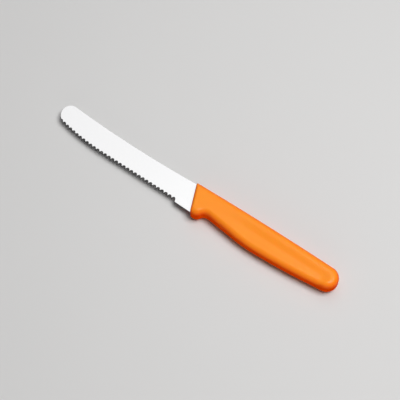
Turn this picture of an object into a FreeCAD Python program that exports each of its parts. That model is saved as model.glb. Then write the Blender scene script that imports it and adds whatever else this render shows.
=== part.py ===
import FreeCAD, Part
import math
import os
import re

import Sketcher

# Tomato knife, lying on its side as it would on a table.
#
# Two pieces: a blade punched from sheet steel, whose hidden tang runs down the
# grip, and a plastic handle moulded over that tang.
#
# X runs along the knife, tip at -X and butt at +X. Y runs up to the spine, with
# the cutting edge at -Y. Z is up: the plain face of the blade looks up, and the
# serrations are ground on the face that looks down.
#
# Both pieces are drawn in one knife frame, whose origin is where the slanted front
# of the handle crosses the knife's long axis, half way through the thickness. Their
# Placement then moves that frame so that the part stands on z = 0, with x = 0 and
# y = 0 in the middle of the knife's box.

V = FreeCAD.Vector

# Driving dimensions, in millimetres and degrees.
SIZES = {
    # blade, seen from its flat side
    "blade_length": 110.0,
    "spine_height": 9.5,
    "spine_hollow_radius": 834.0,
    "tip_back_radius": 5.9,
    "tip_edge_radius": 8.0,
    "edge_drop": 9.05,
    "edge_rise": 1.86,
    "edge_straight": 78.5,
    "edge_curve_radius": 172.0,
    # blade thickness
    "steel_thickness": 1.2,
    "edge_thickness": 0.4,
    "grind_start": 10.6,
    # serrations
    "plain_heel": 14.3,
    "gullet_pitch": 3.075,
    "gullet_depth": 1.2,
    "gullet_radius": 1.9,
    "gullet_grind_angle": 30.0,
    "curved_serration": 34.5,
    # tang inside the handle
    "shoulder_inset": 2.5,
    "tang_reach": 82.0,
    "tang_width": 7.4,
    "tang_middle": 2.2,
    "tang_hole_diameter": 4.4,
    "tang_hole_first": 24.0,
    "tang_hole_spacing": 22.0,
    "tang_hole_end": 8.0,
    # handle, seen from its flat side
    "front_lean": 22.5,
    "handle_length": 107.2,
    "back_height": 10.3,
    "back_crown": 51.0,
    "back_radius": 2200.0,
    "butt_middle": 2.1,
    "butt_belly_radius": 7.4,
    "aft_belly_radius": 450.0,
    "belly_crown": 49.4,
    "belly_depth": 9.1,
    "belly_radius": 110.0,
    "recess_place": 15.2,
    "recess_depth": 5.75,
    "recess_radius": 5.3,
    "guard_depth": 10.6,
    "guard_radius": 5.2,
    # handle thickness and roundings
    "handle_thickness": 12.0,
    "side_rounding": 4.0,
    "front_rounding": 2.2,
    # shallow flute sunk in each side of the handle, behind a rim along its back
    "flute_depth": 0.6,
    "flute_rim": 5.4,
    "flute_wall": 3.6,
    "flute_start": 12.0,
    "flute_end_rim": 4.2,
    "flute_end_slope": 15.0,
}

# Margin of the tools that cut air beyond the solid.
CLEAR = 4.0

# How far an edge may stand from a face and still count as lying in it.
TOUCH = 0.0001

# A sketch plane gets its tilt axis here, and its angle from the sheet afterwards.
ANY_ANGLE = 1.0

doc = FreeCAD.newDocument("tomato_knife")
sheet = doc.addObject("Spreadsheet::Sheet", "sizes")
sheet.Label = "sizes"
for row, (alias, number) in enumerate(SIZES.items(), start=1):
    sheet.set("A%d" % row, alias.replace("_", " "))
    sheet.set("B%d" % row, str(number))
    sheet.setAlias("B%d" % row, alias)
doc.recompute()


def size(alias):
    """Value of one driving dimension, as the sheet holds it."""
    return float(sheet.get(alias))


def cells(text):
    """Expression text in which each word that is an alias is read from the sheet."""
    return re.sub("[a-z_]+", lambda word: "sizes." + word[0] if word[0] in SIZES else word[0], text)


def origin_plane(body, role):
    """The body's own origin plane with this role."""
    return next(f for f in body.Origin.OriginFeatures if f.Role == role)


def new_sketch(body, name, role):
    """An empty sketch on one of the body's own origin planes."""
    sketch = body.newObject("Sketcher::SketchObject", name)
    sketch.AttachmentSupport = [(origin_plane(body, role), "")]
    sketch.MapMode = "FlatFace"
    return sketch


class Drawing:
    """A sketch being drawn: adds curves and constraints whose sizes follow the sheet."""

    def __init__(self, sketch):
        self.sketch = sketch

    def line(self, start, end, construction=False):
        """A straight line between two points (x, y)."""
        return self.sketch.addGeometry(Part.LineSegment(V(*start, 0), V(*end, 0)), construction)

    def arc(self, centre, radius, start, end):
        """An arc that runs anticlockwise from the point start to the point end."""
        first = math.atan2(start[1] - centre[1], start[0] - centre[0])
        last = math.atan2(end[1] - centre[1], end[0] - centre[0])
        if last < first:
            last += 2 * math.pi
        circle = Part.Circle(V(*centre, 0), V(0, 0, 1), radius)
        return self.sketch.addGeometry(Part.ArcOfCircle(circle, first, last), False)

    def circle(self, centre, radius):
        """A full circle."""
        return self.sketch.addGeometry(Part.Circle(V(*centre, 0), V(0, 0, 1), radius), False)

    def rule(self, *parts):
        """A constraint that needs no size."""
        return self.sketch.addConstraint(Sketcher.Constraint(*parts))

    def bind(self, text, *parts):
        """A constraint whose value is an expression in the sheet's sizes."""
        index = self.sketch.addConstraint(Sketcher.Constraint(*parts))
        self.sketch.setExpression("Constraints[%d]" % index, cells(text))
        return index


# The sketcher's own numbers for the points of a curve, for the origin and for the X axis.
START, END, CENTRE = range(1, 4)
ORIGIN = (-1, START)
X_AXIS = -1


def unit(vector):
    """The vector made one long."""
    length = math.hypot(*vector)
    return (vector[0] / length, vector[1] / length)


def along(point, direction, distance):
    """The point moved a distance along a direction."""
    return (point[0] + direction[0] * distance, point[1] + direction[1] * distance)


def circles_meet(first, first_radius, second, second_radius):
    """The upper of the two points where two circles cross."""
    across = (second[0] - first[0], second[1] - first[1])
    gap = math.hypot(*across)
    ahead = unit(across)
    reach = (first_radius ** 2 - second_radius ** 2 + gap ** 2) / (2 * gap)
    rise = math.sqrt(first_radius ** 2 - reach ** 2)
    foot = along(first, ahead, reach)
    ends = (along(foot, (-ahead[1], ahead[0]), rise), along(foot, (ahead[1], -ahead[0]), rise))
    return max(ends, key=lambda end: end[1])


def lean_x(y, inset=0.0):
    """X of the handle's slanted front at a height y, or of a line set back from it."""
    return inset - y * math.tan(math.radians(size("front_lean")))


def draw_front_line(draw, low, high, inset=None):
    """A line at the lean of the handle's front, through the origin or set back from it."""
    front = draw.line((lean_x(low, inset or 0.0), low), (lean_x(high, inset or 0.0), high),
                      construction=inset is not None)
    draw.bind("90 + front_lean", "Angle", front, math.radians(90 + size("front_lean")))
    return front


# Blade

def draw_blade_outline(sketch):
    """Closed outline of blade and tang, seen from the plain face.

    A hollow arc for the spine, two arcs for the full rounded tip, an arc and a straight
    line for the edge, then shoulders parallel to the handle's front and a round-ended tang.
    Gives the index of the straight edge line.
    """
    draw = Drawing(sketch)
    inset = size("shoulder_inset")
    spine_r, back_r = size("spine_hollow_radius"), size("tip_back_radius")
    low_r, curve_r = size("tip_edge_radius"), size("edge_curve_radius")
    half_tang = size("tang_width") / 2
    tang_low, tang_high = size("tang_middle") - half_tang, size("tang_middle") + half_tang

    spine_end = (lean_x(size("spine_height"), inset), size("spine_height"))
    heel = (lean_x(-size("edge_drop"), inset), -size("edge_drop"))
    slope = math.asin(size("edge_rise") / size("edge_straight"))
    turn = along(heel, (-math.cos(slope), math.sin(slope)), size("edge_straight"))
    curve_c = along(turn, (math.sin(slope), math.cos(slope)), curve_r)
    low_x = low_r - size("blade_length")
    low_c = (low_x, curve_c[1] - math.sqrt((curve_r - low_r) ** 2 - (low_x - curve_c[0]) ** 2))
    low_join = along(curve_c, unit((low_c[0] - curve_c[0], low_c[1] - curve_c[1])), curve_r)
    apex = (-size("blade_length"), low_c[1])
    back_c = (back_r - size("blade_length"), low_c[1])
    spine_c = circles_meet(back_c, spine_r + back_r, spine_end, spine_r)
    back_join = along(back_c, unit((spine_c[0] - back_c[0], spine_c[1] - back_c[1])), back_r)
    tang_x = size("tang_reach") - half_tang

    spine = draw.arc(spine_c, spine_r, back_join, spine_end)
    tip_back = draw.arc(back_c, back_r, back_join, apex)
    tip_low = draw.arc(low_c, low_r, apex, low_join)
    curve = draw.arc(curve_c, curve_r, low_join, turn)
    edge = draw.line(turn, heel)
    low_shoulder = draw.line(heel, (lean_x(tang_low, inset), tang_low))
    tang_bottom = draw.line((lean_x(tang_low, inset), tang_low), (tang_x, tang_low))
    tang_end = draw.arc((tang_x, size("tang_middle")), half_tang, (tang_x, tang_low), (tang_x, tang_high))
    tang_top = draw.line((tang_x, tang_high), (lean_x(tang_high, inset), tang_high))
    high_shoulder = draw.line((lean_x(tang_high, inset), tang_high), spine_end)
    guide = draw_front_line(draw, -size("edge_drop"), size("spine_height"), inset)

    draw.rule("Tangent", spine, START, tip_back, START)
    draw.rule("Tangent", tip_back, END, tip_low, START)
    draw.rule("Tangent", tip_low, END, curve, START)
    draw.rule("Tangent", curve, END, edge, START)
    draw.rule("Coincident", edge, END, low_shoulder, START)
    draw.rule("Coincident", low_shoulder, END, tang_bottom, START)
    draw.rule("Tangent", tang_bottom, END, tang_end, START)
    draw.rule("Tangent", tang_end, END, tang_top, START)
    draw.rule("Coincident", tang_top, END, high_shoulder, START)
    draw.rule("Coincident", high_shoulder, END, spine, END)
    draw.rule("Horizontal", tang_bottom)
    draw.rule("Horizontal", tang_top)
    draw.rule("Horizontal", tip_back, END, tip_back, CENTRE)
    draw.rule("Coincident", guide, START, edge, END)
    draw.rule("Coincident", guide, END, high_shoulder, END)
    draw.rule("PointOnObject", low_shoulder, END, guide)
    draw.rule("PointOnObject", high_shoulder, START, guide)
    draw.bind("spine_hollow_radius", "Radius", spine, spine_r)
    draw.bind("tip_back_radius", "Radius", tip_back, back_r)
    draw.bind("tip_edge_radius", "Radius", tip_low, low_r)
    draw.bind("edge_curve_radius", "Radius", curve, curve_r)
    draw.bind("blade_length", "DistanceX", tip_back, END, *ORIGIN, size("blade_length"))
    draw.bind("spine_height", "DistanceY", *ORIGIN, high_shoulder, END, size("spine_height"))
    draw.bind("edge_drop", "DistanceY", edge, END, *ORIGIN, size("edge_drop"))
    draw.bind("shoulder_inset + edge_drop * tan(front_lean)", "DistanceX", *ORIGIN, edge, END, heel[0])
    draw.bind("edge_rise", "DistanceY", edge, END, edge, START, size("edge_rise"))
    draw.bind("edge_straight", "Distance", edge, START, edge, END, size("edge_straight"))
    draw.bind("tang_width / 2", "Radius", tang_end, half_tang)
    draw.bind("tang_middle", "DistanceY", *ORIGIN, tang_end, CENTRE, size("tang_middle"))
    draw.bind("tang_reach - tang_width / 2", "DistanceX", *ORIGIN, tang_end, CENTRE, tang_x)
    return edge


blade = doc.addObject("PartDesign::Body", "blade")
blade.Label = "blade"
outline = new_sketch(blade, "blade_outline", "XY_Plane")
edge_line = draw_blade_outline(outline)

sheet_steel = blade.newObject("PartDesign::Pad", "sheet_steel")
sheet_steel.Profile = outline
sheet_steel.SideType = "Symmetric"
sheet_steel.setExpression("Length", cells("steel_thickness"))


def draw_grind(sketch):
    """Section of what the grinding wheel takes off one face, seen along the blade.

    A wedge that starts above the spine and leaves half the edge thickness at the edge.
    The sketch lies in the slanted front of the handle, so heights are measured along it.
    """
    draw = Drawing(sketch)
    slant = math.cos(math.radians(size("front_lean")))
    top, low = size("grind_start") / slant, -size("edge_drop") / slant
    thick, thin = size("steel_thickness") / 2, size("edge_thickness") / 2
    outside = thick + CLEAR
    face = draw.line((top, thick), (low, thin))
    foot = draw.line((low, thin), (low, outside))
    far = draw.line((low, outside), (top, outside))
    head = draw.line((top, outside), (top, thick))
    for one, other in ((face, foot), (foot, far), (far, head), (head, face)):
        draw.rule("Coincident", one, END, other, START)
    draw.rule("Vertical", foot)
    draw.rule("Vertical", head)
    draw.rule("Horizontal", far)
    draw.bind("grind_start / cos(front_lean)", "DistanceX", *ORIGIN, face, START, top)
    draw.bind("edge_drop / cos(front_lean)", "DistanceX", face, END, *ORIGIN, -low)
    draw.bind("steel_thickness / 2", "DistanceY", *ORIGIN, face, START, thick)
    draw.bind("edge_thickness / 2", "DistanceY", *ORIGIN, face, END, thin)
    draw.bind("steel_thickness / 2 + %g" % CLEAR, "DistanceY", *ORIGIN, far, START, outside)


grind_section = new_sketch(blade, "grind_section", "YZ_Plane")
grind_section.AttachmentOffset = FreeCAD.Placement(V(), FreeCAD.Rotation(V(0, 1, 0), ANY_ANGLE))
grind_section.setExpression("AttachmentOffset.Rotation.Angle", cells("front_lean"))
draw_grind(grind_section)
flat_grind = blade.newObject("PartDesign::Pocket", "flat_grind")
flat_grind.Profile = grind_section
flat_grind.UseCustomVector = True
flat_grind.AlongSketchNormal = False
flat_grind.Direction = V(-1, 0, 0)
flat_grind.setExpression("Length", cells("blade_length + %g" % (2 * CLEAR)))
both_faces = blade.newObject("PartDesign::Mirrored", "both_faces")
both_faces.Originals = [flat_grind]
both_faces.MirrorPlane = (origin_plane(blade, "XY_Plane"), [""])
blade.Tip = both_faces

# One gullet is a round wheel mark, slanted so that it runs out at the plain face. It
# sits where the straight edge turns into the curved one, and is repeated both ways.
turn_x = "shoulder_inset + edge_drop * tan(front_lean) - sqrt(edge_straight ^ 2 - edge_rise ^ 2)"
wheel = new_sketch(blade, "gullet_wheel", "XY_Plane")
wheel.AttachmentOffset = FreeCAD.Placement(V(), FreeCAD.Rotation(V(1, 0, 0), ANY_ANGLE))
wheel.setExpression("AttachmentOffset.Rotation.Angle", cells("90 - gullet_grind_angle"))
wheel.setExpression("AttachmentOffset.Base.x", cells(turn_x))
wheel.setExpression("AttachmentOffset.Base.y", cells(
    "edge_rise - edge_drop + gullet_depth + edge_thickness / 2 / tan(gullet_grind_angle)"))
wheel_drawing = Drawing(wheel)
rim = wheel_drawing.circle((0, -size("gullet_radius")), size("gullet_radius"))
wheel_drawing.bind("gullet_radius", "Radius", rim, size("gullet_radius"))
wheel_drawing.bind("gullet_radius", "DistanceY", rim, CENTRE, *ORIGIN, size("gullet_radius"))
wheel_drawing.rule("PointOnObject", rim, CENTRE, -2)
gullet = blade.newObject("PartDesign::Pocket", "gullet")
gullet.Profile = wheel
gullet.SideType = "Symmetric"
gullet.setExpression("Length", cells("8 * gullet_radius"))

straight_gullets = blade.newObject("PartDesign::LinearPattern", "straight_gullets")
straight_gullets.Originals = [gullet]
straight_gullets.Direction = (outline, ["Edge%d" % (edge_line + 1)])
straight_gullets.Mode = "Spacing"
straight_gullets.setExpression("Offset", cells("gullet_pitch"))
straight_gullets.setExpression("Occurrences", cells(
    "floor((edge_straight - shoulder_inset - plain_heel) / gullet_pitch) + 1"))
blade.Tip = straight_gullets
doc.recompute()

# The curved run turns about the centre of the edge's arc.
hub = new_sketch(blade, "edge_curve_hub", "XY_Plane")
hub.setExpression("AttachmentOffset.Base.x", cells(
    turn_x + " + edge_curve_radius * edge_rise / edge_straight"))
hub.setExpression("AttachmentOffset.Base.y", cells(
    "edge_rise - edge_drop + edge_curve_radius * sqrt(1 - (edge_rise / edge_straight) ^ 2)"))
hub.addGeometry(Part.Point(V()), True)
hub.addConstraint(Sketcher.Constraint("Coincident", 0, START, *ORIGIN))
curved_gullets = blade.newObject("PartDesign::PolarPattern", "curved_gullets")
curved_gullets.Originals = [gullet]
curved_gullets.Axis = (hub, ["N_Axis"])
curved_gullets.Reversed = True
curved_gullets.Mode = "Spacing"
curved_gullets.setExpression("Offset", cells("gullet_pitch / edge_curve_radius * 180 / pi"))
curved_gullets.setExpression("Occurrences", cells("floor(curved_serration / gullet_pitch) + 1"))
blade.Tip = curved_gullets

# Holes in the tang, which the plastic flows through and keys into.
tang_hole_sketch = new_sketch(blade, "tang_hole_place", "XY_Plane")
hole_drawing = Drawing(tang_hole_sketch)
hole = hole_drawing.circle((size("tang_hole_first"), size("tang_middle")), size("tang_hole_diameter") / 2)
hole_drawing.bind("tang_hole_diameter", "Diameter", hole, size("tang_hole_diameter"))
hole_drawing.bind("tang_hole_first", "DistanceX", *ORIGIN, hole, CENTRE, size("tang_hole_first"))
hole_drawing.bind("tang_middle", "DistanceY", *ORIGIN, hole, CENTRE, size("tang_middle"))
tang_hole = blade.newObject("PartDesign::Pocket", "tang_hole")
tang_hole.Profile = tang_hole_sketch
tang_hole.SideType = "Symmetric"
tang_hole.setExpression("Length", cells("2 * steel_thickness"))
tang_holes = blade.newObject("PartDesign::LinearPattern", "tang_holes")
tang_holes.Originals = [tang_hole]
tang_holes.Direction = (outline, ["H_Axis"])
tang_holes.Mode = "Spacing"
tang_holes.setExpression("Offset", cells("tang_hole_spacing"))
tang_holes.setExpression("Occurrences", cells(
    "floor((tang_reach - tang_hole_first - tang_hole_end) / tang_hole_spacing) + 1"))
blade.Tip = tang_holes


# Handle

def draw_flute_section(sketch, depth_text, depth):
    """Half of the handle block's section across the grip, above the middle plane.

    The upper line is a smooth curve: flat over the rim along the back, down the wall of
    the flute, and flat again to the belly. It stands out beyond the handle's outline.
    """
    draw = Drawing(sketch)
    half = size("handle_thickness") / 2
    rim_edge = size("back_height") - size("flute_rim")
    wall = size("flute_wall")
    far_back = size("back_height") + CLEAR
    far_belly = -size("guard_depth") - CLEAR
    high = "handle_thickness / 2"
    low = "handle_thickness / 2 - " + depth_text
    rim_text = "back_height - flute_rim"
    poles = [
        (far_back, "back_height + %g" % CLEAR, half, high),
        (rim_edge + wall / 2, rim_text + " + flute_wall / 2", half, high),
        (rim_edge, rim_text, half, high),
        (rim_edge - wall / 3, rim_text + " - flute_wall / 3", half, high),
        (rim_edge - 2 * wall / 3, rim_text + " - 2 * flute_wall / 3", half - depth, low),
        (rim_edge - wall, rim_text + " - flute_wall", half - depth, low),
        (rim_edge - 3 * wall / 2, rim_text + " - 3 * flute_wall / 2", half - depth, low),
        (far_belly, "0 - guard_depth - %g" % CLEAR, half - depth, low),
    ]
    curve = Part.BSplineCurve()
    curve.buildFromPoles([V(pole[0], pole[2], 0) for pole in poles], False, 3)
    top = sketch.addGeometry(curve, False)
    sketch.exposeInternalGeometry(top)
    for index, (across, across_text, up, up_text) in enumerate(poles):
        knob = top + 1 + index
        draw.bind(across_text, "DistanceX", *ORIGIN, knob, CENTRE, across)
        draw.bind(up_text, "DistanceY", *ORIGIN, knob, CENTRE, up)
    belly_side = draw.line((far_belly, half - depth), (far_belly, 0))
    middle = draw.line((far_belly, 0), (far_back, 0))
    back_side = draw.line((far_back, 0), (far_back, half))
    draw.rule("Coincident", top, END, belly_side, START)
    draw.rule("Coincident", belly_side, END, middle, START)
    draw.rule("Coincident", middle, END, back_side, START)
    draw.rule("Coincident", back_side, END, top, START)
    draw.rule("Vertical", belly_side)
    draw.rule("Vertical", back_side)
    draw.rule("PointOnObject", middle, START, X_AXIS)
    draw.rule("PointOnObject", middle, END, X_AXIS)


grip = doc.addObject("PartDesign::Body", "handle_block")
grip.Label = "handle_block"

# Stations along the handle: where each section stands, and the share of the flute's
# full depth there. The flute fades in from the front and ends short of the butt.
flute_full = "(handle_length - flute_end_rim - flute_end_slope)"
fade = "flute_start + %g * (" + flute_full + " - flute_start)"
close = flute_full + " + %g * flute_end_slope"
STATIONS = (
    ("0 - guard_depth - %g" % CLEAR, 0.0),
    ("0.3 * flute_start", 0.0),
    ("flute_start", 0.0),
    (fade % 0.25, 0.2),
    (fade % 0.5, 0.5),
    (fade % 0.8, 0.9),
    (flute_full, 1.0),
    (close % 0.45, 0.9),
    (close % 0.75, 0.35),
    ("handle_length - flute_end_rim", 0.0),
    ("handle_length + %g" % CLEAR, 0.0),
)
sections = []
for index, (place, share) in enumerate(STATIONS):
    section = new_sketch(grip, "flute_section_%02d" % index, "YZ_Plane")
    section.setExpression("AttachmentOffset.Base.z", cells(place))
    draw_flute_section(section, "%g * flute_depth" % share, share * size("flute_depth"))
    sections.append(section)
side_form = grip.newObject("PartDesign::AdditiveLoft", "side_form")
side_form.Profile = sections[0]
side_form.Sections = sections[1:]
two_sides = grip.newObject("PartDesign::Mirrored", "two_sides")
two_sides.Originals = [side_form]
two_sides.MirrorPlane = (origin_plane(grip, "XY_Plane"), [""])
grip.Tip = two_sides


def draw_handle_outline(draw):
    """Closed outline of the handle, seen from its side.

    A slightly arched back, a butt of two arcs, a long belly of two arcs and a line, a
    hollow for the forefinger and the lobe of the guard, drawn on past the handle's front.
    """
    length, middle = size("handle_length"), size("butt_middle")
    back_r, low_r = size("back_radius"), size("butt_belly_radius")
    aft_r, belly_r = size("aft_belly_radius"), size("belly_radius")
    recess_r, guard_r = size("recess_radius"), size("guard_radius")

    back_c = (size("back_crown"), size("back_height") - back_r)
    reach, rise = length - back_c[0], middle - back_c[1]
    high_r = (back_r ** 2 - reach ** 2 - rise ** 2) / (2 * (back_r - reach))
    high_c, low_c = (length - high_r, middle), (length - low_r, middle)
    belly_c = (size("belly_crown"), belly_r - size("belly_depth"))
    aft_c = circles_meet(belly_c, aft_r - belly_r, low_c, aft_r - low_r)
    recess_c = (size("recess_place"), -size("recess_depth") - recess_r)
    guard_y = guard_r - size("guard_depth")
    guard_c = (recess_c[0] - math.sqrt((guard_r + recess_r) ** 2 - (guard_y - recess_c[1]) ** 2), guard_y)

    across = (belly_c[0] - recess_c[0], belly_c[1] - recess_c[1])
    steep = math.atan2(across[1], across[0]) + math.acos((belly_r + recess_r) / math.hypot(*across))
    square = (math.cos(steep), math.sin(steep))
    recess_end, belly_start = along(recess_c, square, recess_r), along(belly_c, square, -belly_r)
    lobe_end = along(guard_c, unit((recess_c[0] - guard_c[0], recess_c[1] - guard_c[1])), guard_r)
    belly_end = along(aft_c, unit((belly_c[0] - aft_c[0], belly_c[1] - aft_c[1])), aft_r)
    aft_end = along(aft_c, unit((low_c[0] - aft_c[0], low_c[1] - aft_c[1])), aft_r)
    back_end = along(back_c, unit((high_c[0] - back_c[0], high_c[1] - back_c[1])), back_r)
    butt = (length, middle)
    lobe_start = (guard_c[0], -size("guard_depth"))
    fore_x = -size("guard_depth") - CLEAR / 2
    fore_rise = back_c[1] + math.sqrt(back_r ** 2 - (fore_x - back_c[0]) ** 2)
    back_start = (fore_x, fore_rise)

    fore = draw.line(back_start, (fore_x, lobe_start[1]))
    back = draw.arc(back_c, back_r, back_end, back_start)
    high_butt = draw.arc(high_c, high_r, butt, back_end)
    low_butt = draw.arc(low_c, low_r, aft_end, butt)
    aft_belly = draw.arc(aft_c, aft_r, belly_end, aft_end)
    belly = draw.arc(belly_c, belly_r, belly_start, belly_end)
    fore_belly = draw.line(recess_end, belly_start)
    recess = draw.arc(recess_c, recess_r, recess_end, lobe_end)
    guard = draw.arc(guard_c, guard_r, lobe_start, lobe_end)
    under = draw.line((fore_x, lobe_start[1]), lobe_start)

    draw.rule("Coincident", fore, START, back, END)
    draw.rule("Coincident", fore, END, under, START)
    draw.rule("Tangent", under, END, guard, START)
    draw.rule("Vertical", fore)
    draw.rule("Horizontal", under)
    draw.rule("Tangent", back, START, high_butt, END)
    draw.rule("Tangent", high_butt, START, low_butt, END)
    draw.rule("Tangent", low_butt, START, aft_belly, END)
    draw.rule("Tangent", aft_belly, START, belly, END)
    draw.rule("Tangent", belly, START, fore_belly, END)
    draw.rule("Tangent", fore_belly, START, recess, START)
    draw.rule("Tangent", recess, END, guard, END)
    draw.rule("Horizontal", high_butt, CENTRE, high_butt, START)
    draw.bind("guard_depth + %g" % (CLEAR / 2), "DistanceX", fore, END, *ORIGIN, -fore_x)
    draw.bind("back_radius", "Radius", back, back_r)
    draw.bind("back_crown", "DistanceX", *ORIGIN, back, CENTRE, back_c[0])
    draw.bind("back_radius - back_height", "DistanceY", back, CENTRE, *ORIGIN, -back_c[1])
    draw.bind("handle_length", "DistanceX", *ORIGIN, high_butt, START, length)
    draw.bind("butt_middle", "DistanceY", *ORIGIN, high_butt, CENTRE, middle)
    draw.bind("butt_belly_radius", "Radius", low_butt, low_r)
    draw.bind("aft_belly_radius", "Radius", aft_belly, aft_r)
    draw.bind("belly_radius", "Radius", belly, belly_r)
    draw.bind("belly_crown", "DistanceX", *ORIGIN, belly, CENTRE, belly_c[0])
    draw.bind("belly_radius - belly_depth", "DistanceY", *ORIGIN, belly, CENTRE, belly_c[1])
    draw.bind("recess_radius", "Radius", recess, recess_r)
    draw.bind("recess_place", "DistanceX", *ORIGIN, recess, CENTRE, recess_c[0])
    draw.bind("recess_depth + recess_radius", "DistanceY", recess, CENTRE, *ORIGIN, -recess_c[1])
    draw.bind("guard_radius", "Radius", guard, guard_r)
    draw.bind("guard_depth", "DistanceY", under, END, *ORIGIN, size("guard_depth"))


def draw_surround(draw):
    """A rectangle beyond the handle block on every side."""
    reach = 2 * CLEAR
    left, right = -size("guard_depth") - reach, size("handle_length") + reach
    low, high = -size("guard_depth") - reach, size("back_height") + reach
    corners = ((left, low), (right, low), (right, high), (left, high))
    sides = [draw.line(corners[i], corners[(i + 1) % 4]) for i in range(4)]
    for index, side in enumerate(sides):
        draw.rule("Coincident", side, END, sides[(index + 1) % 4], START)
        draw.rule("Vertical" if index % 2 else "Horizontal", side)
    draw.bind("guard_depth + %g" % reach, "DistanceX", sides[0], START, *ORIGIN, -left)
    draw.bind("guard_depth + %g" % reach, "DistanceY", sides[0], START, *ORIGIN, -low)
    draw.bind("handle_length + %g" % reach, "DistanceX", *ORIGIN, sides[2], START, right)
    draw.bind("back_height + %g" % reach, "DistanceY", *ORIGIN, sides[2], START, high)


grip_outline = new_sketch(grip, "handle_outline", "XY_Plane")
draw_handle_outline(Drawing(grip_outline))
draw_surround(Drawing(grip_outline))
trim = grip.newObject("PartDesign::Pocket", "trim_to_outline")
trim.Profile = grip_outline
trim.SideType = "Symmetric"
trim.setExpression("Length", cells("2 * handle_thickness"))
doc.recompute()


def on_front(edge):
    """True for an edge that lies in the handle's slanted front face."""
    lean = math.radians(size("front_lean"))
    ends = [edge.valueAt(edge.FirstParameter), edge.valueAt(edge.LastParameter)]
    return all(abs(end.x * math.cos(lean) + end.y * math.sin(lean)) < TOUCH for end in ends)


def edge_names(shape, keep):
    """Names of the edges of a shape that pass the test."""
    return ["Edge%d" % (i + 1) for i, edge in enumerate(shape.Edges) if keep(edge)]


def on_side(edge):
    """True for an edge between the handle's wall and one of its two sides."""
    level = size("handle_thickness") / 2 - size("flute_depth") - size("side_rounding") / 2
    ends = [edge.valueAt(edge.FirstParameter), edge.valueAt(edge.LastParameter)]
    return all(abs(end.z) > level for end in ends)


side_rounding = grip.newObject("PartDesign::Fillet", "side_rounding")
side_rounding.Base = (trim, edge_names(trim.Shape, on_side))
side_rounding.setExpression("Radius", cells("side_rounding"))


def draw_front_waste(draw):
    """What is cut off ahead of the handle's slanted front: all that lies beyond the line."""
    low, high = -size("guard_depth") - CLEAR, size("back_height") + CLEAR
    far = -2 * size("guard_depth") - 3 * CLEAR
    front = draw_front_line(draw, low, high)
    top = draw.line((lean_x(high), high), (far, high))
    side = draw.line((far, high), (far, low))
    bottom = draw.line((far, low), (lean_x(low), low))
    for one, other in ((front, top), (top, side), (side, bottom), (bottom, front)):
        draw.rule("Coincident", one, END, other, START)
    draw.rule("Horizontal", top)
    draw.rule("Vertical", side)
    draw.rule("Horizontal", bottom)
    draw.rule("PointOnObject", *ORIGIN, front)
    draw.bind("guard_depth + %g" % CLEAR, "DistanceY", front, START, *ORIGIN, -low)
    draw.bind("back_height + %g" % CLEAR, "DistanceY", *ORIGIN, front, END, high)
    draw.bind("2 * guard_depth + %g" % (3 * CLEAR), "DistanceX", side, START, *ORIGIN, -far)


front_waste = new_sketch(grip, "front_waste", "XY_Plane")
draw_front_waste(Drawing(front_waste))
front_face = grip.newObject("PartDesign::Pocket", "front_face")
front_face.Profile = front_waste
front_face.SideType = "Symmetric"
front_face.setExpression("Length", cells("2 * handle_thickness"))
doc.recompute()
front_rounding = grip.newObject("PartDesign::Fillet", "front_rounding")
front_rounding.Base = (front_face, edge_names(front_face.Shape, on_front))
front_rounding.setExpression("Radius", cells("front_rounding"))
doc.recompute()

# The plastic fills all round the steel and through the tang's holes.
handle = doc.addObject("Part::Cut", "handle")
handle.Label = "handle"
handle.Base = grip
handle.Tool = blade

# The knife frame, moved to the middle of the knife's box and up to stand on z = 0.
for body in (blade, grip):
    body.setExpression("Placement.Base.x", cells("(blade_length - handle_length) / 2"))
    body.setExpression("Placement.Base.y", cells("(guard_depth - back_height) / 2"))
    body.setExpression("Placement.Base.z", cells("handle_thickness / 2"))
doc.recompute()

for obj in doc.Objects:
    if "Invalid" in obj.State or "Error" in obj.State:
        raise RuntimeError("%s did not build: %s" % (obj.Name, obj.getStatusString()))
for obj in doc.Objects:
    if obj.TypeId == "Sketcher::SketchObject" and not obj.FullyConstrained:
        raise RuntimeError("%s is not fully constrained" % obj.Name)
for piece in (blade, handle):
    shape = piece.Shape
    if shape.isNull() or not shape.isValid() or len(shape.Solids) != 1:
        raise RuntimeError(piece.Label + " is not one valid solid")

os.makedirs("parts", exist_ok=True)
for piece in (blade, handle):
    piece.Shape.exportStep("parts/%s.step" % piece.Label)
    box = piece.Shape.optimalBoundingBox()
    print(piece.Label, "volume", round(piece.Shape.Volume, 1), "faces", len(piece.Shape.Faces), box)
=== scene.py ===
"""Tomato knife: the looks of its blade and handle round the fixed frame, and a plain stage."""

import math
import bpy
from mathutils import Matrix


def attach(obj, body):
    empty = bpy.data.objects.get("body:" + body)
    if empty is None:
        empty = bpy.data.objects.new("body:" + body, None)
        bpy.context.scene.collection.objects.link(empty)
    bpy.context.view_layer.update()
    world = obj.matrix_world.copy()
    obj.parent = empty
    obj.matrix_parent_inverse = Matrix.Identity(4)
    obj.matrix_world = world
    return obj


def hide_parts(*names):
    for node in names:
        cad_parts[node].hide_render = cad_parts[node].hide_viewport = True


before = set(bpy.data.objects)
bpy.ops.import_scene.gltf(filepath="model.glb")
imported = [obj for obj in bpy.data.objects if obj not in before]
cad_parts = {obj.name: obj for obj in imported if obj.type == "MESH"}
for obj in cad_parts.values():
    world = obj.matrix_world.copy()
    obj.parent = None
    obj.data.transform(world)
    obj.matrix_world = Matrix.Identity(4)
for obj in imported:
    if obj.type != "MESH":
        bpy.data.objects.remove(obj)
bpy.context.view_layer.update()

from types import SimpleNamespace

import bmesh
import bpy
import numpy as np
from mathutils import Vector

bl_info = {
    "name": "Tomato Knife",
    "version": (1, 0, 0),
    "blender": (4, 5, 0),
    "location": "View3D > Sidebar > Tomato Knife",
    "description": "Serrated tomato knife with a moulded handle, on a plain stage",
    "category": "Object",
}

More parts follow.
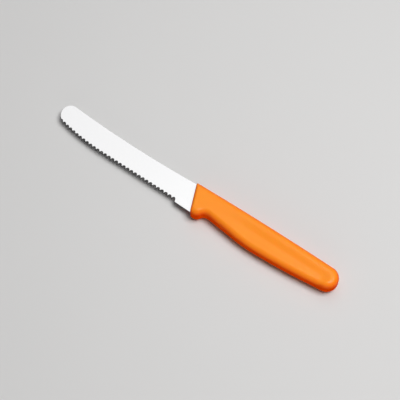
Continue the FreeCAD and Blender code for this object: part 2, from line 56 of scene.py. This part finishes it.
# Where the front of the handle crosses the knife's long axis, half way through the
# thickness. The handle's outline is drawn about this point.
HANDLE_ORIGIN = (0.0014, 0.00015, 0.006)

# Steps along each stretch of the handle's outline. The front has as many as the butt's
# middle, because the two face each other across the patch that closes each side.
FRONT_STEPS = 30
CORNER_STEPS = 14
BUTT_STEPS = 10
BELLY_STEPS = {"guard": 26, "recess": 30, "line": 8, "belly": 90, "aft": 60}

# Outlines stacked up the straight wall, and round the side rounding above it.
WALL_RINGS = 4
ROUND_RINGS = 18

# Share of the side rounding's inset by which the front's corner at the guard tightens.
CORNER_TIGHTENING = 0.25

# Points nearer to each other than this are merged, in metres.
MERGE_DISTANCE = 1e-7

# Sockets of a Mix node that mixes two colours.
MIX_FACTOR, MIX_FIRST, MIX_SECOND, MIX_RESULT = 0, 6, 7, 2

# The shared grain: its noise, and the noise's mean.
GRAIN_DETAIL = 3.0
GRAIN_ROUGHNESS = 0.6
GRAIN_MEAN = 0.5

# Where the grain is used: waves per metre along X, Y and Z, and its share in the colour.
CLOUD_STRETCH, CLOUD_TINT = (90.0, 160.0, 160.0), 0.05
SKIN_STRETCH, SKIN_TINT = (4200.0, 4200.0, 4200.0), 0.0
GRINDING_STRETCH, GRINDING_TINT = (9000.0, 260.0, 260.0), 0.05
FLOOR_STRETCH, FLOOR_TINT = (9.0, 9.0, 9.0), 0.02

# Height of the plastic's and the steel's relief, in metres.
SKIN_RELIEF = 0.00005
GRINDING_RELIEF = 0.00004

PLASTIC_IOR = 1.45
# How far red, green and blue travel inside the plastic, as shares of the glow's reach.
GLOW_SHARES = (1.0, 0.15, 0.03)

FLOOR_ROUGHNESS = 0.7
FLOOR_SHINE = 0.2
FLOOR_REACH = 0.7  # half of the floor's side, in metres

# Each softbox: the stage's setting for its radiance, where it stands, its width and height.
SOFT_BOXES = {
    "key_softbox": ("key", (0.36, 0.20, 1.13), (0.60, 0.60)),
    "sheen_softbox": ("sheen", (-0.30, 0.43, 1.08), (0.95, 0.95)),
    "fill_softbox": ("fill", (0.55, -0.80, 0.27), (1.0, 0.5)),
}
LAMP_AIM = (0.0, 0.0, 0.0)
SENSOR_WIDTH = 36.0  # millimetres
WHITE = (1.0, 1.0, 1.0, 1.0)


# Settings

def length(name, description, default):
    """A size in metres that the sidebar shows with its unit."""
    return bpy.props.FloatProperty(
        name=name, description=description, default=default, precision=5,
        subtype="DISTANCE", unit="LENGTH")


def share(name, description, default, most=1.0):
    """A plain number from nought to a limit."""
    return bpy.props.FloatProperty(
        name=name, description=description, default=default, min=0.0, max=most)


def colour(name, description, default):
    """A linear colour."""
    return bpy.props.FloatVectorProperty(
        name=name, description=description, default=default, min=0.0, max=1.0,
        size=3, subtype="COLOR")


def point(name, description, default):
    """A place in metres."""
    return bpy.props.FloatVectorProperty(
        name=name, description=description, default=default, precision=5,
        subtype="XYZ", unit="LENGTH")


class HandleShape(bpy.types.PropertyGroup):
    """Sizes of the moulded handle."""

    length: length("Length", "From the front, on the knife's axis, to the butt", 0.1072)
    thickness: length("Thickness", "Across the two flat sides", 0.012)
    front_lean: bpy.props.FloatProperty(
        name="Front lean", description="How far the front slants back towards the edge",
        default=math.radians(22.5), subtype="ANGLE", unit="ROTATION")
    back_height: length("Back height", "Top of the arched back above the axis", 0.0103)
    back_crown: length("Back crown", "Where along the handle the back is highest", 0.051)
    back_radius: length("Back radius", "Radius of the arched back", 2.2)
    butt_middle: length("Butt middle", "Height of the butt's furthest point", 0.0021)
    butt_belly_radius: length("Butt radius", "Rounding of the butt towards the belly", 0.0074)
    aft_belly_radius: length("Aft belly radius", "Radius of the belly near the butt", 0.45)
    belly_crown: length("Belly crown", "Where along the handle the belly is deepest", 0.0494)
    belly_depth: length("Belly depth", "Depth of the belly below the axis", 0.0091)
    belly_radius: length("Belly radius", "Radius of the belly's middle", 0.11)
    recess_place: length("Recess place", "Where the forefinger's hollow is deepest", 0.0152)
    recess_depth: length("Recess depth", "The hollow's top below the axis", 0.00575)
    recess_radius: length("Recess radius", "Radius of the forefinger's hollow", 0.0053)
    guard_depth: length("Guard depth", "Lowest point of the guard below the axis", 0.0106)
    guard_radius: length("Guard radius", "Rounding of the guard's lobe", 0.0052)
    side_rounding: length("Side rounding", "Radius along the back, butt and belly", 0.004)
    front_rounding: length("Front rounding", "Radius along the slanted front", 0.0022)
    top_corner: length("Top corner", "Radius of the front's corner at the back", 0.0008)
    low_corner: length("Low corner", "Radius of the front's corner at the guard", 0.0025)
    flute_depth: length("Flute depth", "How far the flute is sunk in each side", 0.0012)
    flute_rim: length("Flute rim", "Width of the rim between the back and the flute", 0.0041)
    flute_wall: length("Flute wall", "Width of the slope from the rim to the floor", 0.0068)
    flute_start: length("Flute start", "Where the flute begins to fade in", 0.0)
    flute_full: length("Flute full", "Where the flute has its full depth", 0.054)
    end_wall: length("End wall", "Width of the slope at the flute's end", 0.0042)
    butt_rim: length("Butt rim", "Width of the rim between the butt and the flute", 0.0044)
    butt_rim_radius: length("Butt rim radius", "Curve of the flute's end wall", 0.009)


class HandleFinish(bpy.types.PropertyGroup):
    """Moulded plastic."""

    # The flat sides' tone is the lit copy of the plastic; its green and blue are raised a little
    # as painted sheen.
    tone: colour("Tone", "Colour of the plastic", (1.0, 0.295, 0.016))
    # Painted shade: the walls' colour is mixed towards this deep tone as they turn from upright,
    # by the power below, standing in for the shade that falls on them.
    painted_shade_tone: colour("Deep tone", "Colour low on the walls", (1.0, 0.075, 0.0))
    painted_shade_power: share("Deepening", "How soon the colour deepens as a wall turns away", 1.6, 8.0)
    # Painted shade in the reflection: the shine is dimmed down the walls by the same mask as the
    # painted shade tone.
    shine: share("Shine", "How strongly the flat sides mirror; it fades down the walls", 0.2)
    roughness: share("Roughness", "How matt the moulded skin is", 0.28)
    grain: share("Grain", "Depth of the mould's fine texture", 0.10)
    glow: share("Glow", "How much light travels inside the plastic", 0.25)
    glow_reach: length("Glow reach", "How far red light travels inside the plastic", 0.0012)


class BladeFinish(bpy.types.PropertyGroup):
    """Ground stainless steel."""

    tone: colour("Tone", "Colour of the steel", (0.53, 0.53, 0.533))
    roughness: share("Roughness", "Width of the ground steel's shine", 0.24)
    grain: share("Grain", "Depth of the grinding lines", 0.06)


class StageLight(bpy.types.PropertyGroup):
    """Floor, lamps and camera."""

    floor_tone: colour("Floor tone", "Colour of the floor", (0.66, 0.655, 0.65))
    sky: share("Sky", "Strength of the even light from all round", 0.04, 4.0)
    backdrop: share("Backdrop", "How pale the surroundings look, in the steel too", 0.7)
    key: share("Key", "Radiance of the softbox overhead", 11.0, 40.0)
    sheen: share("Sheen", "Radiance of the wide softbox that the blade mirrors", 1.05, 10.0)
    fill: share("Fill", "Radiance of the low softbox in front", 0.8, 10.0)
    lens: bpy.props.FloatProperty(
        name="Lens", description="Focal length of the camera in millimetres", default=93.06)
    camera_place: point("Camera place", "Where the camera stands",
                        (0.16665, -0.22950, 0.61085))
    camera_aim: point("Camera aim", "Point on the floor in the middle of the picture",
                      (0.00366, 0.00410, 0.0))


# Shapes

def smooth_step(x):
    """Nought below 0, one above 1, and 3x^2 - 2x^3 between."""
    x = np.clip(x, 0.0, 1.0)
    return x * x * (3.0 - 2.0 * x)


def soft_least(a, b, width):
    """The lesser of two fields, with the crease between them rounded over the width.

    It is b(1 - t) + at - wt(1 - t), where t is a half plus (b - a) / 2w, kept within 0 to 1.
    """
    blend = np.clip(0.5 + 0.5 * (b - a) / width, 0.0, 1.0)
    return b * (1.0 - blend) + a * blend - width * blend * (1.0 - blend)


def circles_meet(first, first_radius, second, second_radius):
    """The upper of the two points where two circles cross."""
    across = second - first
    gap = np.hypot(*across)
    ahead = across / gap
    reach = (first_radius ** 2 - second_radius ** 2 + gap ** 2) / (2.0 * gap)
    rise = math.sqrt(first_radius ** 2 - reach ** 2)
    foot = first + ahead * reach
    normal = np.array((-ahead[1], ahead[0]))
    ends = (foot + normal * rise, foot - normal * rise)
    return max(ends, key=lambda end: end[1])


def bearing(vector):
    """Angle of a flat vector, from 0 to a full turn."""
    return math.atan2(vector[1], vector[0]) % math.tau


def steps(count):
    """Even shares from nought up to one, without the one."""
    return np.arange(count) / count


def arc_points(centre, radius, start, end, shares):
    """Points on an arc: centre + radius (cos a, sin a), where a goes from start to end by shares.

    The centre, radius and angles may hold one value for each ring.
    """
    angle = start + (end - start) * shares
    arc = np.stack(np.broadcast_arrays(radius * np.cos(angle), radius * np.sin(angle)), axis=-1)
    return np.asarray(centre) + arc


def line_points(start, end, count):
    """Evenly spaced points on a line, without its end."""
    return start + (end - start) * steps(count)[:, None]


def front_normal(h):
    """Flat unit vector square to the slanted front, pointing into the handle."""
    return np.array((math.cos(h.front_lean), math.sin(h.front_lean)))


def outline_centres(h):
    """Centres of the arcs in the handle's outline, and the radius of the butt's upper arc.

    Neighbouring arcs touch. Where the outline bends the other way their centres lie apart by
    the sum of their radii, and elsewhere by the difference.
    """
    back = np.array((h.back_crown, h.back_height - h.back_radius))
    reach, rise = h.length - back[0], h.butt_middle - back[1]
    high_radius = (h.back_radius ** 2 - reach ** 2 - rise ** 2) / (2.0 * (h.back_radius - reach))
    high = np.array((h.length - high_radius, h.butt_middle))
    low = np.array((h.length - h.butt_belly_radius, h.butt_middle))
    belly = np.array((h.belly_crown, h.belly_radius - h.belly_depth))
    aft = circles_meet(belly, h.aft_belly_radius - h.belly_radius,
                       low, h.aft_belly_radius - h.butt_belly_radius)
    recess = np.array((h.recess_place, -h.recess_depth - h.recess_radius))
    guard_y = h.guard_radius - h.guard_depth
    apart = h.guard_radius + h.recess_radius
    guard_x = recess[0] - math.sqrt(apart ** 2 - (guard_y - recess[1]) ** 2)
    return SimpleNamespace(
        back=back, high=high, low=low, aft=aft, belly=belly, recess=recess,
        guard=np.array((guard_x, guard_y)), high_radius=high_radius)


def front_centres(h, back, inset, front_inset, top_corner, low_corner):
    """Centres of the small arcs at the two ends of the slanted front, one pair for each ring.

    Both touch the front's line. The top one also touches the back from inside, and the low
    one the level base of the guard.
    """
    normal = front_normal(h)
    up = np.array((-normal[1], normal[0]))
    off_line = normal * (front_inset + top_corner)[..., None]
    to_line = off_line - back
    half = (to_line * up).sum(-1)
    far = (h.back_radius - inset - top_corner) ** 2 - (to_line ** 2).sum(-1)
    top = off_line + up * (np.sqrt(half ** 2 + far) - half)[..., None]
    low_y = inset + low_corner - h.guard_depth
    low_x = (front_inset + low_corner - normal[1] * low_y) / normal[0]
    return top, np.stack((low_x, low_y), axis=-1)


def handle_rings(h, inset, front_inset, top_corner, low_corner):
    """Outlines of the handle at several heights, each a closed loop of flat points.

    Each loop is the handle's outline moved inwards: its arcs keep their centres and angles
    and change their radii by the inset, and the slanted front is a line moved by its own
    inset. Two small arcs round the front's corners. A loop runs down the front, along the
    guard, the finger's hollow and the belly, round the butt and back along the back. The
    result is shaped (rings, points, 2).
    """
    c = outline_centres(h)
    top_c, corner_c = front_centres(h, c.back, inset, front_inset, top_corner, low_corner)

    # Down the front and round its low corner.
    normal = front_normal(h)
    facing, down = math.pi + h.front_lean, 1.5 * math.pi
    front = line_points(top_c - normal * top_corner[..., None],
                        corner_c - normal * low_corner[..., None], FRONT_STEPS)
    corner = arc_points(corner_c, low_corner, facing, down, steps(CORNER_STEPS))

    # Guard, finger's hollow, and the line that leads to the belly.
    across = c.belly - c.recess
    steep = bearing(across) + math.acos((h.belly_radius + h.recess_radius) / np.hypot(*across))
    square = np.array((math.cos(steep), math.sin(steep)))
    lobe = bearing(c.recess - c.guard)
    recess_radius, belly_radius = h.recess_radius + inset, h.belly_radius - inset
    guard = arc_points(c.guard, h.guard_radius - inset, down, lobe, steps(BELLY_STEPS["guard"]))
    recess = arc_points(c.recess, recess_radius, lobe - math.pi, steep,
                        steps(BELLY_STEPS["recess"]))
    line = line_points(c.recess + square * recess_radius[..., None],
                       c.belly - square * belly_radius[..., None], BELLY_STEPS["line"])

    # Belly, up to the butt.
    aft_start, aft_end = bearing(c.belly - c.aft), bearing(c.low - c.aft)
    belly = arc_points(c.belly, belly_radius, steep + math.pi, aft_start,
                       steps(BELLY_STEPS["belly"]))
    aft = arc_points(c.aft, h.aft_belly_radius - inset, aft_start, aft_end,
                     steps(BELLY_STEPS["aft"]))

    # Butt: its middle, half on each of its two arcs, has as many steps as the front.
    half_front = FRONT_STEPS // 2
    back_start = bearing(c.high - c.back)
    low_split = aft_end + (math.tau - aft_end) / (BUTT_STEPS + half_front) * BUTT_STEPS
    high_split = back_start * half_front / (BUTT_STEPS + half_front)
    low_radius, high_radius = h.butt_belly_radius - inset, c.high_radius - inset
    low_side = arc_points(c.low, low_radius, aft_end, low_split, steps(BUTT_STEPS))
    low_butt = arc_points(c.low, low_radius, low_split, math.tau, steps(half_front))
    high_butt = arc_points(c.high, high_radius, 0.0, high_split, steps(half_front))
    high_side = arc_points(c.high, high_radius, high_split, back_start, steps(BUTT_STEPS))

    # Back: divided at the same distances along the handle as the belly.
    under = np.concatenate((guard, recess, line, belly, aft), axis=1)[0, :, 0]
    under = np.append(under, low_side[0, 0, 0])
    back_shares = ((under[-1] - under) / (under[-1] - under[0]))[:0:-1]
    back_end = np.arctan2(top_c[..., 1] - c.back[1], top_c[..., 0] - c.back[0])
    back = arc_points(c.back, h.back_radius - inset, back_start, back_end, back_shares)
    top = arc_points(top_c, top_corner, back_end, facing, steps(CORNER_STEPS))

    parts = (front, corner, guard, recess, line, belly, aft, low_side,
             low_butt, high_butt, high_side, back, top)
    return np.concatenate(parts, axis=1)


def flute_fall(h, flat):
    """How far the flute lies below the handle's side at flat points.

    The depth times the product of two smooth steps. One fades it in along the handle. The
    other is of the lesser of two shares: of the wall, by the distance from the back's rim,
    and of the end wall, by that from the butt's rim, which turns round with a parabola.
    """
    x, y = flat[..., 0], flat[..., 1]
    back_fall = (x - h.back_crown) ** 2 / (2.0 * h.back_radius)
    from_back = h.back_height - back_fall - y - h.flute_rim
    butt_fall = (y - h.butt_middle) ** 2 / (2.0 * h.butt_rim_radius)
    from_butt = h.length - butt_fall - x - h.butt_rim
    inside = soft_least(from_back / h.flute_wall, from_butt / h.end_wall, 1.0)
    fade = smooth_step((x - h.flute_start) / (h.flute_full - h.flute_start))
    return h.flute_depth * fade * smooth_step(inside)


def patch(lower, upper, first, last):
    """A grid that fills four edges: two straight blends added, less the blend of the corners."""
    u = np.linspace(0.0, 1.0, len(lower))[:, None, None]
    v = np.linspace(0.0, 1.0, len(first))[None, :, None]
    along = lower[:, None] * (1.0 - v) + upper[:, None] * v
    over = first[None] * (1.0 - u) + last[None] * u
    ends = ((lower[0] * (1.0 - u) + lower[-1] * u) * (1.0 - v)
            + (upper[0] * (1.0 - u) + upper[-1] * u) * v)
    return along + over - ends


def grid_faces(rows, columns, start=0, closed=False):
    """Corner numbers of the four-sided faces of a grid whose points are numbered row by row."""
    row = np.arange(rows - 1)[:, None]
    column = np.arange(columns if closed else columns - 1)[None, :]
    right = (column + 1) % columns
    corners = (row * columns + column, row * columns + right,
               (row + 1) * columns + right, (row + 1) * columns + column)
    return start + np.stack(np.broadcast_arrays(*corners), axis=-1).reshape(-1, 4)


def handle_surface(h):
    """Points and faces of the whole handle.

    The wall is a stack of outlines. Up to the side rounding they are all the outline
    itself, and above it each one lies inwards by r - sqrt(r^2 - rise^2), with the front's
    smaller radius on the front. A filled patch closes each side, and every height is
    lowered in the ratio of the flute's fall to the half thickness.
    """
    half = h.thickness / 2.0
    turn = np.linspace(0.0, math.pi / 2.0, ROUND_RINGS)
    straight = half - h.side_rounding
    rise = np.concatenate((np.linspace(0.0, straight, WALL_RINGS, endpoint=False),
                           straight + h.side_rounding * np.sin(turn)))
    over_side = np.clip(rise - straight, 0.0, h.side_rounding)
    over_front = np.clip(rise - half + h.front_rounding, 0.0, h.front_rounding)
    inset = h.side_rounding - np.sqrt(h.side_rounding ** 2 - over_side ** 2)
    front_inset = h.front_rounding - np.sqrt(h.front_rounding ** 2 - over_front ** 2)
    low_corner = h.low_corner - CORNER_TIGHTENING * inset
    top_corner = np.full_like(inset, h.top_corner)
    rings = handle_rings(h, inset[:, None], front_inset[:, None],
                         top_corner[:, None], low_corner[:, None])

    # The top ring's four stretches bound the patch: front, underside, butt's middle and back.
    rim = rings[-1]
    under = FRONT_STEPS + CORNER_STEPS + sum(BELLY_STEPS.values()) + BUTT_STEPS
    butt = under + FRONT_STEPS
    first = rim[:FRONT_STEPS + 1][::-1]
    lower = rim[FRONT_STEPS:under + 1]
    last = rim[under:butt + 1]
    upper = np.concatenate((rim[butt:], rim[:1]))[::-1]
    side = patch(lower, upper, first, last)

    def lift(flat, height):
        """Flat points raised to a height that is lowered where the flute is."""
        low = 1.0 - flute_fall(h, flat) / half
        return np.concatenate((flat, (height * low)[..., None]), axis=-1)

    outlines = np.concatenate((rings[:0:-1], rings))
    heights = np.concatenate((-rise[:0:-1], rise))
    wall = lift(outlines, heights[:, None] + np.zeros(rings.shape[1]))
    sides = [lift(side, np.full(side.shape[:2], height)) for height in (half, -half)]
    points = [part.reshape(-1, 3) for part in (wall, *sides)]
    start = len(points[0])
    faces = [grid_faces(*wall.shape[:2], closed=True),
             grid_faces(*side.shape[:2], start=start),
             grid_faces(*side.shape[:2], start=start + len(points[1]))]
    return np.concatenate(points) + np.array(HANDLE_ORIGIN), np.concatenate(faces)


def new_piece(name, points, faces, material):
    """A smooth closed mesh in the row frame, riding on the knife, with its doubles merged."""
    mesh = bpy.data.meshes.new(name)
    mesh.from_pydata(points.tolist(), [], faces.tolist())
    shell = bmesh.new()
    shell.from_mesh(mesh)
    bmesh.ops.remove_doubles(shell, verts=shell.verts, dist=MERGE_DISTANCE)
    bmesh.ops.recalc_face_normals(shell, faces=shell.faces)
    loose = [edge for edge in shell.edges if len(edge.link_faces) != 2]
    if loose:
        raise RuntimeError("%s is not closed: %d open edges" % (name, len(loose)))
    shell.to_mesh(mesh)
    shell.free()
    mesh.polygons.foreach_set("use_smooth", np.ones(len(mesh.polygons), bool))
    mesh.materials.append(material)
    piece = bpy.data.objects.new(name, mesh)
    bpy.context.scene.collection.objects.link(piece)
    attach(piece, "root")
    return piece


# Finishes

class Nodes:
    """A node tree, with short calls to add to it."""

    def __init__(self, tree):
        self.tree = tree

    def feed(self, value, into):
        """Fills an input: a link where the value is a socket, else a plain value."""
        if isinstance(value, bpy.types.NodeSocket):
            self.tree.links.new(value, into)
        else:
            into.default_value = value

    def put(self, node, **values):
        """Fills a node's settings and inputs by name, with _ for a space."""
        for name, value in values.items():
            if hasattr(node, name):
                setattr(node, name, value)
            else:
                self.feed(value, node.inputs[name.replace("_", " ")])

    def add(self, kind, **values):
        """A new node of this kind, filled by name."""
        node = self.tree.nodes.new(kind)
        self.put(node, **values)
        return node

    def math(self, operation, *values, clamp=False):
        """Result of a sum on sockets or plain numbers."""
        node = self.add("ShaderNodeMath", operation=operation, use_clamp=clamp)
        for value, into in zip(values, node.inputs):
            self.feed(value, into)
        return node.outputs[0]


def new_material(name):
    """A material with a Principled shader: itself, its nodes, the shader and the place."""
    material = bpy.data.materials.new(name)
    material.use_nodes = True
    material.node_tree.nodes.clear()
    nodes = Nodes(material.node_tree)
    shader = nodes.add("ShaderNodeBsdfPrincipled")
    nodes.add("ShaderNodeOutputMaterial", Surface=shader.outputs["BSDF"])
    place = nodes.add("ShaderNodeTexCoord")
    return material, nodes, shader, place.outputs["Object"]


def grain_group():
    """Shared node group: even grain at any size, stretched by its own mapping.

    Noise of the coordinates times a scale for each axis, put out as a height and as a
    value about one that tints colours.
    """
    tree = bpy.data.node_groups.new("fine_grain", "ShaderNodeTree")
    face = tree.interface
    face.new_socket("Place", in_out="INPUT", socket_type="NodeSocketVector")
    face.new_socket("Stretch", in_out="INPUT", socket_type="NodeSocketVector")
    face.new_socket("Tint", in_out="INPUT", socket_type="NodeSocketFloat")
    face.new_socket("Height", in_out="OUTPUT", socket_type="NodeSocketFloat")
    face.new_socket("Value", in_out="OUTPUT", socket_type="NodeSocketFloat")
    nodes = Nodes(tree)
    entry = nodes.add("NodeGroupInput")
    scaled = nodes.add("ShaderNodeVectorMath", operation="MULTIPLY")
    nodes.feed(entry.outputs["Place"], scaled.inputs[0])
    nodes.feed(entry.outputs["Stretch"], scaled.inputs[1])
    noise = nodes.add("ShaderNodeTexNoise", Vector=scaled.outputs["Vector"], Scale=1.0,
                      Detail=GRAIN_DETAIL, Roughness=GRAIN_ROUGHNESS)
    height = noise.outputs["Fac"]
    centred = nodes.math("SUBTRACT", height, GRAIN_MEAN)
    value = nodes.math("MULTIPLY_ADD", centred, entry.outputs["Tint"], 1.0)
    nodes.add("NodeGroupOutput", Height=height, Value=value)
    return tree


def add_grain(nodes, place, stretch, tint):
    """The shared grain placed in a material."""
    group = bpy.data.node_groups.get("fine_grain") or grain_group()
    return nodes.add("ShaderNodeGroup", node_tree=group,
                     Place=place, Stretch=stretch, Tint=tint)


def tinted(nodes, tone, grain):
    """A colour times the grain's value."""
    scale = nodes.add("ShaderNodeVectorMath", operation="SCALE",
                      Vector=tone, Scale=grain.outputs["Value"])
    return scale.outputs["Vector"]


def relief(nodes, grain, strength, distance):
    """Normal of a surface that the grain's height roughens."""
    bump = nodes.add("ShaderNodeBump", Strength=strength, Distance=distance,
                     Height=grain.outputs["Height"])
    return bump.outputs["Normal"]


def plastic(finish):
    """Satin orange plastic with mould grain, with painted shade: deeper in colour and duller
    where a wall turns from upright.

    The share of the flat sides' tone and shine is the size of the normal's Z, to the power set
    for the painted shade. So the walls take a darker painted shade tone and a dimmed reflection
    by their slope alone, whatever light falls on them.
    """
    material, nodes, shader, place = new_material("orange_moulded_plastic")
    cloud = add_grain(nodes, place, CLOUD_STRETCH, CLOUD_TINT)
    skin = add_grain(nodes, place, SKIN_STRETCH, SKIN_TINT)
    geometry = nodes.add("ShaderNodeNewGeometry")
    normal = nodes.add("ShaderNodeSeparateXYZ", Vector=geometry.outputs["Normal"])
    facing = nodes.math("ABSOLUTE", normal.outputs["Z"])
    # Painted shade mask: the size of the normal's Z to a power, one on the flat sides and falling
    # to nought on upright walls; it mixes the lit tone with the painted shade tone.
    painted_lit_share = nodes.math("POWER", facing, finish.painted_shade_power, clamp=True)
    mix = nodes.add("ShaderNodeMix", data_type="RGBA")
    nodes.feed(painted_lit_share, mix.inputs[MIX_FACTOR])
    nodes.feed((*finish.painted_shade_tone, 1.0), mix.inputs[MIX_FIRST])
    nodes.feed((*finish.tone, 1.0), mix.inputs[MIX_SECOND])
    nodes.put(shader,
              Base_Color=tinted(nodes, mix.outputs[MIX_RESULT], cloud),
              Roughness=finish.roughness,
              IOR=PLASTIC_IOR,
              # Painted shade in the reflection: the walls' shine is dimmed by the mask, not by
              # what they face.
              Specular_IOR_Level=nodes.math("MULTIPLY", painted_lit_share, finish.shine),
              Subsurface_Weight=finish.glow,
              Subsurface_Radius=GLOW_SHARES,
              Subsurface_Scale=finish.glow_reach,
              Normal=relief(nodes, skin, finish.grain, SKIN_RELIEF))
    return material


def steel(finish):
    """Ground stainless steel: fine lines across the blade."""
    material, nodes, shader, place = new_material("ground_stainless_steel")
    lines = add_grain(nodes, place, GRINDING_STRETCH, GRINDING_TINT)
    nodes.put(shader,
              Base_Color=tinted(nodes, finish.tone, lines),
              Metallic=1.0,
              Roughness=finish.roughness,
              Normal=relief(nodes, lines, finish.grain, GRINDING_RELIEF))
    return material


def floor_finish(tone):
    """Matt pale surface with a faint mottle."""
    material, nodes, shader, place = new_material("pale_floor")
    mottle = add_grain(nodes, place, FLOOR_STRETCH, FLOOR_TINT)
    nodes.put(shader,
              Base_Color=tinted(nodes, tone, mottle),
              Roughness=FLOOR_ROUGHNESS,
              Specular_IOR_Level=FLOOR_SHINE)
    return material


# Stage

def lay_floor(tone):
    """A square floor under the knife."""
    far = FLOOR_REACH
    corners = [(-far, -far, 0.0), (far, -far, 0.0), (far, far, 0.0), (-far, far, 0.0)]
    mesh = bpy.data.meshes.new("floor")
    mesh.from_pydata(corners, [], [(0, 1, 2, 3)])
    mesh.materials.append(floor_finish(tone))
    floor = bpy.data.objects.new("floor", mesh)
    bpy.context.scene.collection.objects.link(floor)


def stand(name, data, place, aim):
    """A lamp or camera that stands at a place and looks at a point."""
    item = bpy.data.objects.new(name, data)
    item.location = place
    item.rotation_euler = (Vector(aim) - Vector(place)).to_track_quat("-Z", "Y").to_euler()
    bpy.context.scene.collection.objects.link(item)
    return item


def soft_box(name, place, size, radiance):
    """An area lamp. Its power is radiance times pi times its area."""
    width, height = size
    lamp = bpy.data.lights.new(name, "AREA")
    lamp.shape = "RECTANGLE"
    lamp.size, lamp.size_y = width, height
    lamp.energy = radiance * math.pi * width * height
    stand(name, lamp, place, LAMP_AIM)


def plain_world(stage):
    """White surroundings, as bright as the backdrop to the eye and as the sky in their light."""
    world = bpy.data.worlds.new("plain_sky")
    world.use_nodes = True
    nodes = Nodes(world.node_tree)
    ray = nodes.add("ShaderNodeLightPath")
    seen = nodes.math("MAXIMUM", ray.outputs["Is Camera Ray"], ray.outputs["Is Glossy Ray"])
    strength = nodes.math("MULTIPLY_ADD", seen, stage.backdrop - stage.sky, stage.sky)
    nodes.put(world.node_tree.nodes["Background"], Color=WHITE, Strength=strength)
    return world


# Operators

class SetStage(bpy.types.Operator):
    """Lays the floor and sets lamps, world and camera"""

    bl_idname = "tomato_knife.set_stage"
    bl_label = "Stage"

    def execute(self, context):
        scene = context.scene
        stage = scene.knife_stage
        lay_floor(stage.floor_tone)
        for name, (setting, place, size) in SOFT_BOXES.items():
            soft_box(name, place, size, getattr(stage, setting))
        scene.world = plain_world(stage)
        camera = bpy.data.cameras.new("camera")
        camera.sensor_width = SENSOR_WIDTH
        camera.lens = stage.lens
        scene.camera = stand("camera", camera, stage.camera_place, stage.camera_aim)
        scene.view_settings.view_transform = "Standard"
        return {"FINISHED"}


class FinishBlade(bpy.types.Operator):
    """Gives the blade its ground steel"""

    bl_idname = "tomato_knife.finish_blade"
    bl_label = "Blade"

    def execute(self, context):
        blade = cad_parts["blade"]
        blade.data.materials.clear()
        blade.data.materials.append(steel(context.scene.knife_steel))
        return {"FINISHED"}


class MakeHandle(bpy.types.Operator):
    """Moulds the handle as one smooth surface in place of the plain solid"""

    bl_idname = "tomato_knife.make_handle"
    bl_label = "Handle"

    def execute(self, context):
        scene = context.scene
        points, faces = handle_surface(scene.knife_handle)
        skin = plastic(scene.knife_plastic)
        piece = new_piece("moulded_handle", points, faces, skin)
        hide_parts("handle")
        return {"FINISHED"}


class KnifePanel(bpy.types.Panel):
    """Sizes, finishes and makers of the tomato knife"""

    bl_idname = "VIEW3D_PT_tomato_knife"
    bl_label = "Tomato Knife"
    bl_space_type = "VIEW_3D"
    bl_region_type = "UI"
    bl_category = "Tomato Knife"

    def draw(self, context):
        layout = self.layout
        for operator, group in PANEL_ROWS:
            layout.operator(operator.bl_idname)
            box = layout.box()
            settings = getattr(context.scene, group)
            for name in settings.__annotations__:
                box.prop(settings, name)


SETTINGS = {
    "knife_handle": HandleShape,
    "knife_plastic": HandleFinish,
    "knife_steel": BladeFinish,
    "knife_stage": StageLight,
}
OPERATORS = (SetStage, FinishBlade, MakeHandle)
# Each row of the panel: an operator's button, and the settings below it.
PANEL_ROWS = (
    (SetStage, "knife_stage"),
    (FinishBlade, "knife_steel"),
    (MakeHandle, "knife_handle"),
    (MakeHandle, "knife_plastic"),
)


def register():
    """Adds the settings, operators and panel."""
    for group in SETTINGS.values():
        bpy.utils.register_class(group)
    for name, group in SETTINGS.items():
        setattr(bpy.types.Scene, name, bpy.props.PointerProperty(type=group))
    for one in (*OPERATORS, KnifePanel):
        bpy.utils.register_class(one)


def unregister():
    """Takes away what register added."""
    for one in (KnifePanel, *reversed(OPERATORS)):
        bpy.utils.unregister_class(one)
    for name in SETTINGS:
        delattr(bpy.types.Scene, name)
    for group in reversed(SETTINGS.values()):
        bpy.utils.unregister_class(group)


def main():
    """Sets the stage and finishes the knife."""
    register()
    bpy.ops.tomato_knife.set_stage()
    bpy.ops.tomato_knife.finish_blade()
    bpy.ops.tomato_knife.make_handle()


if __name__ == "__main__":
    main()
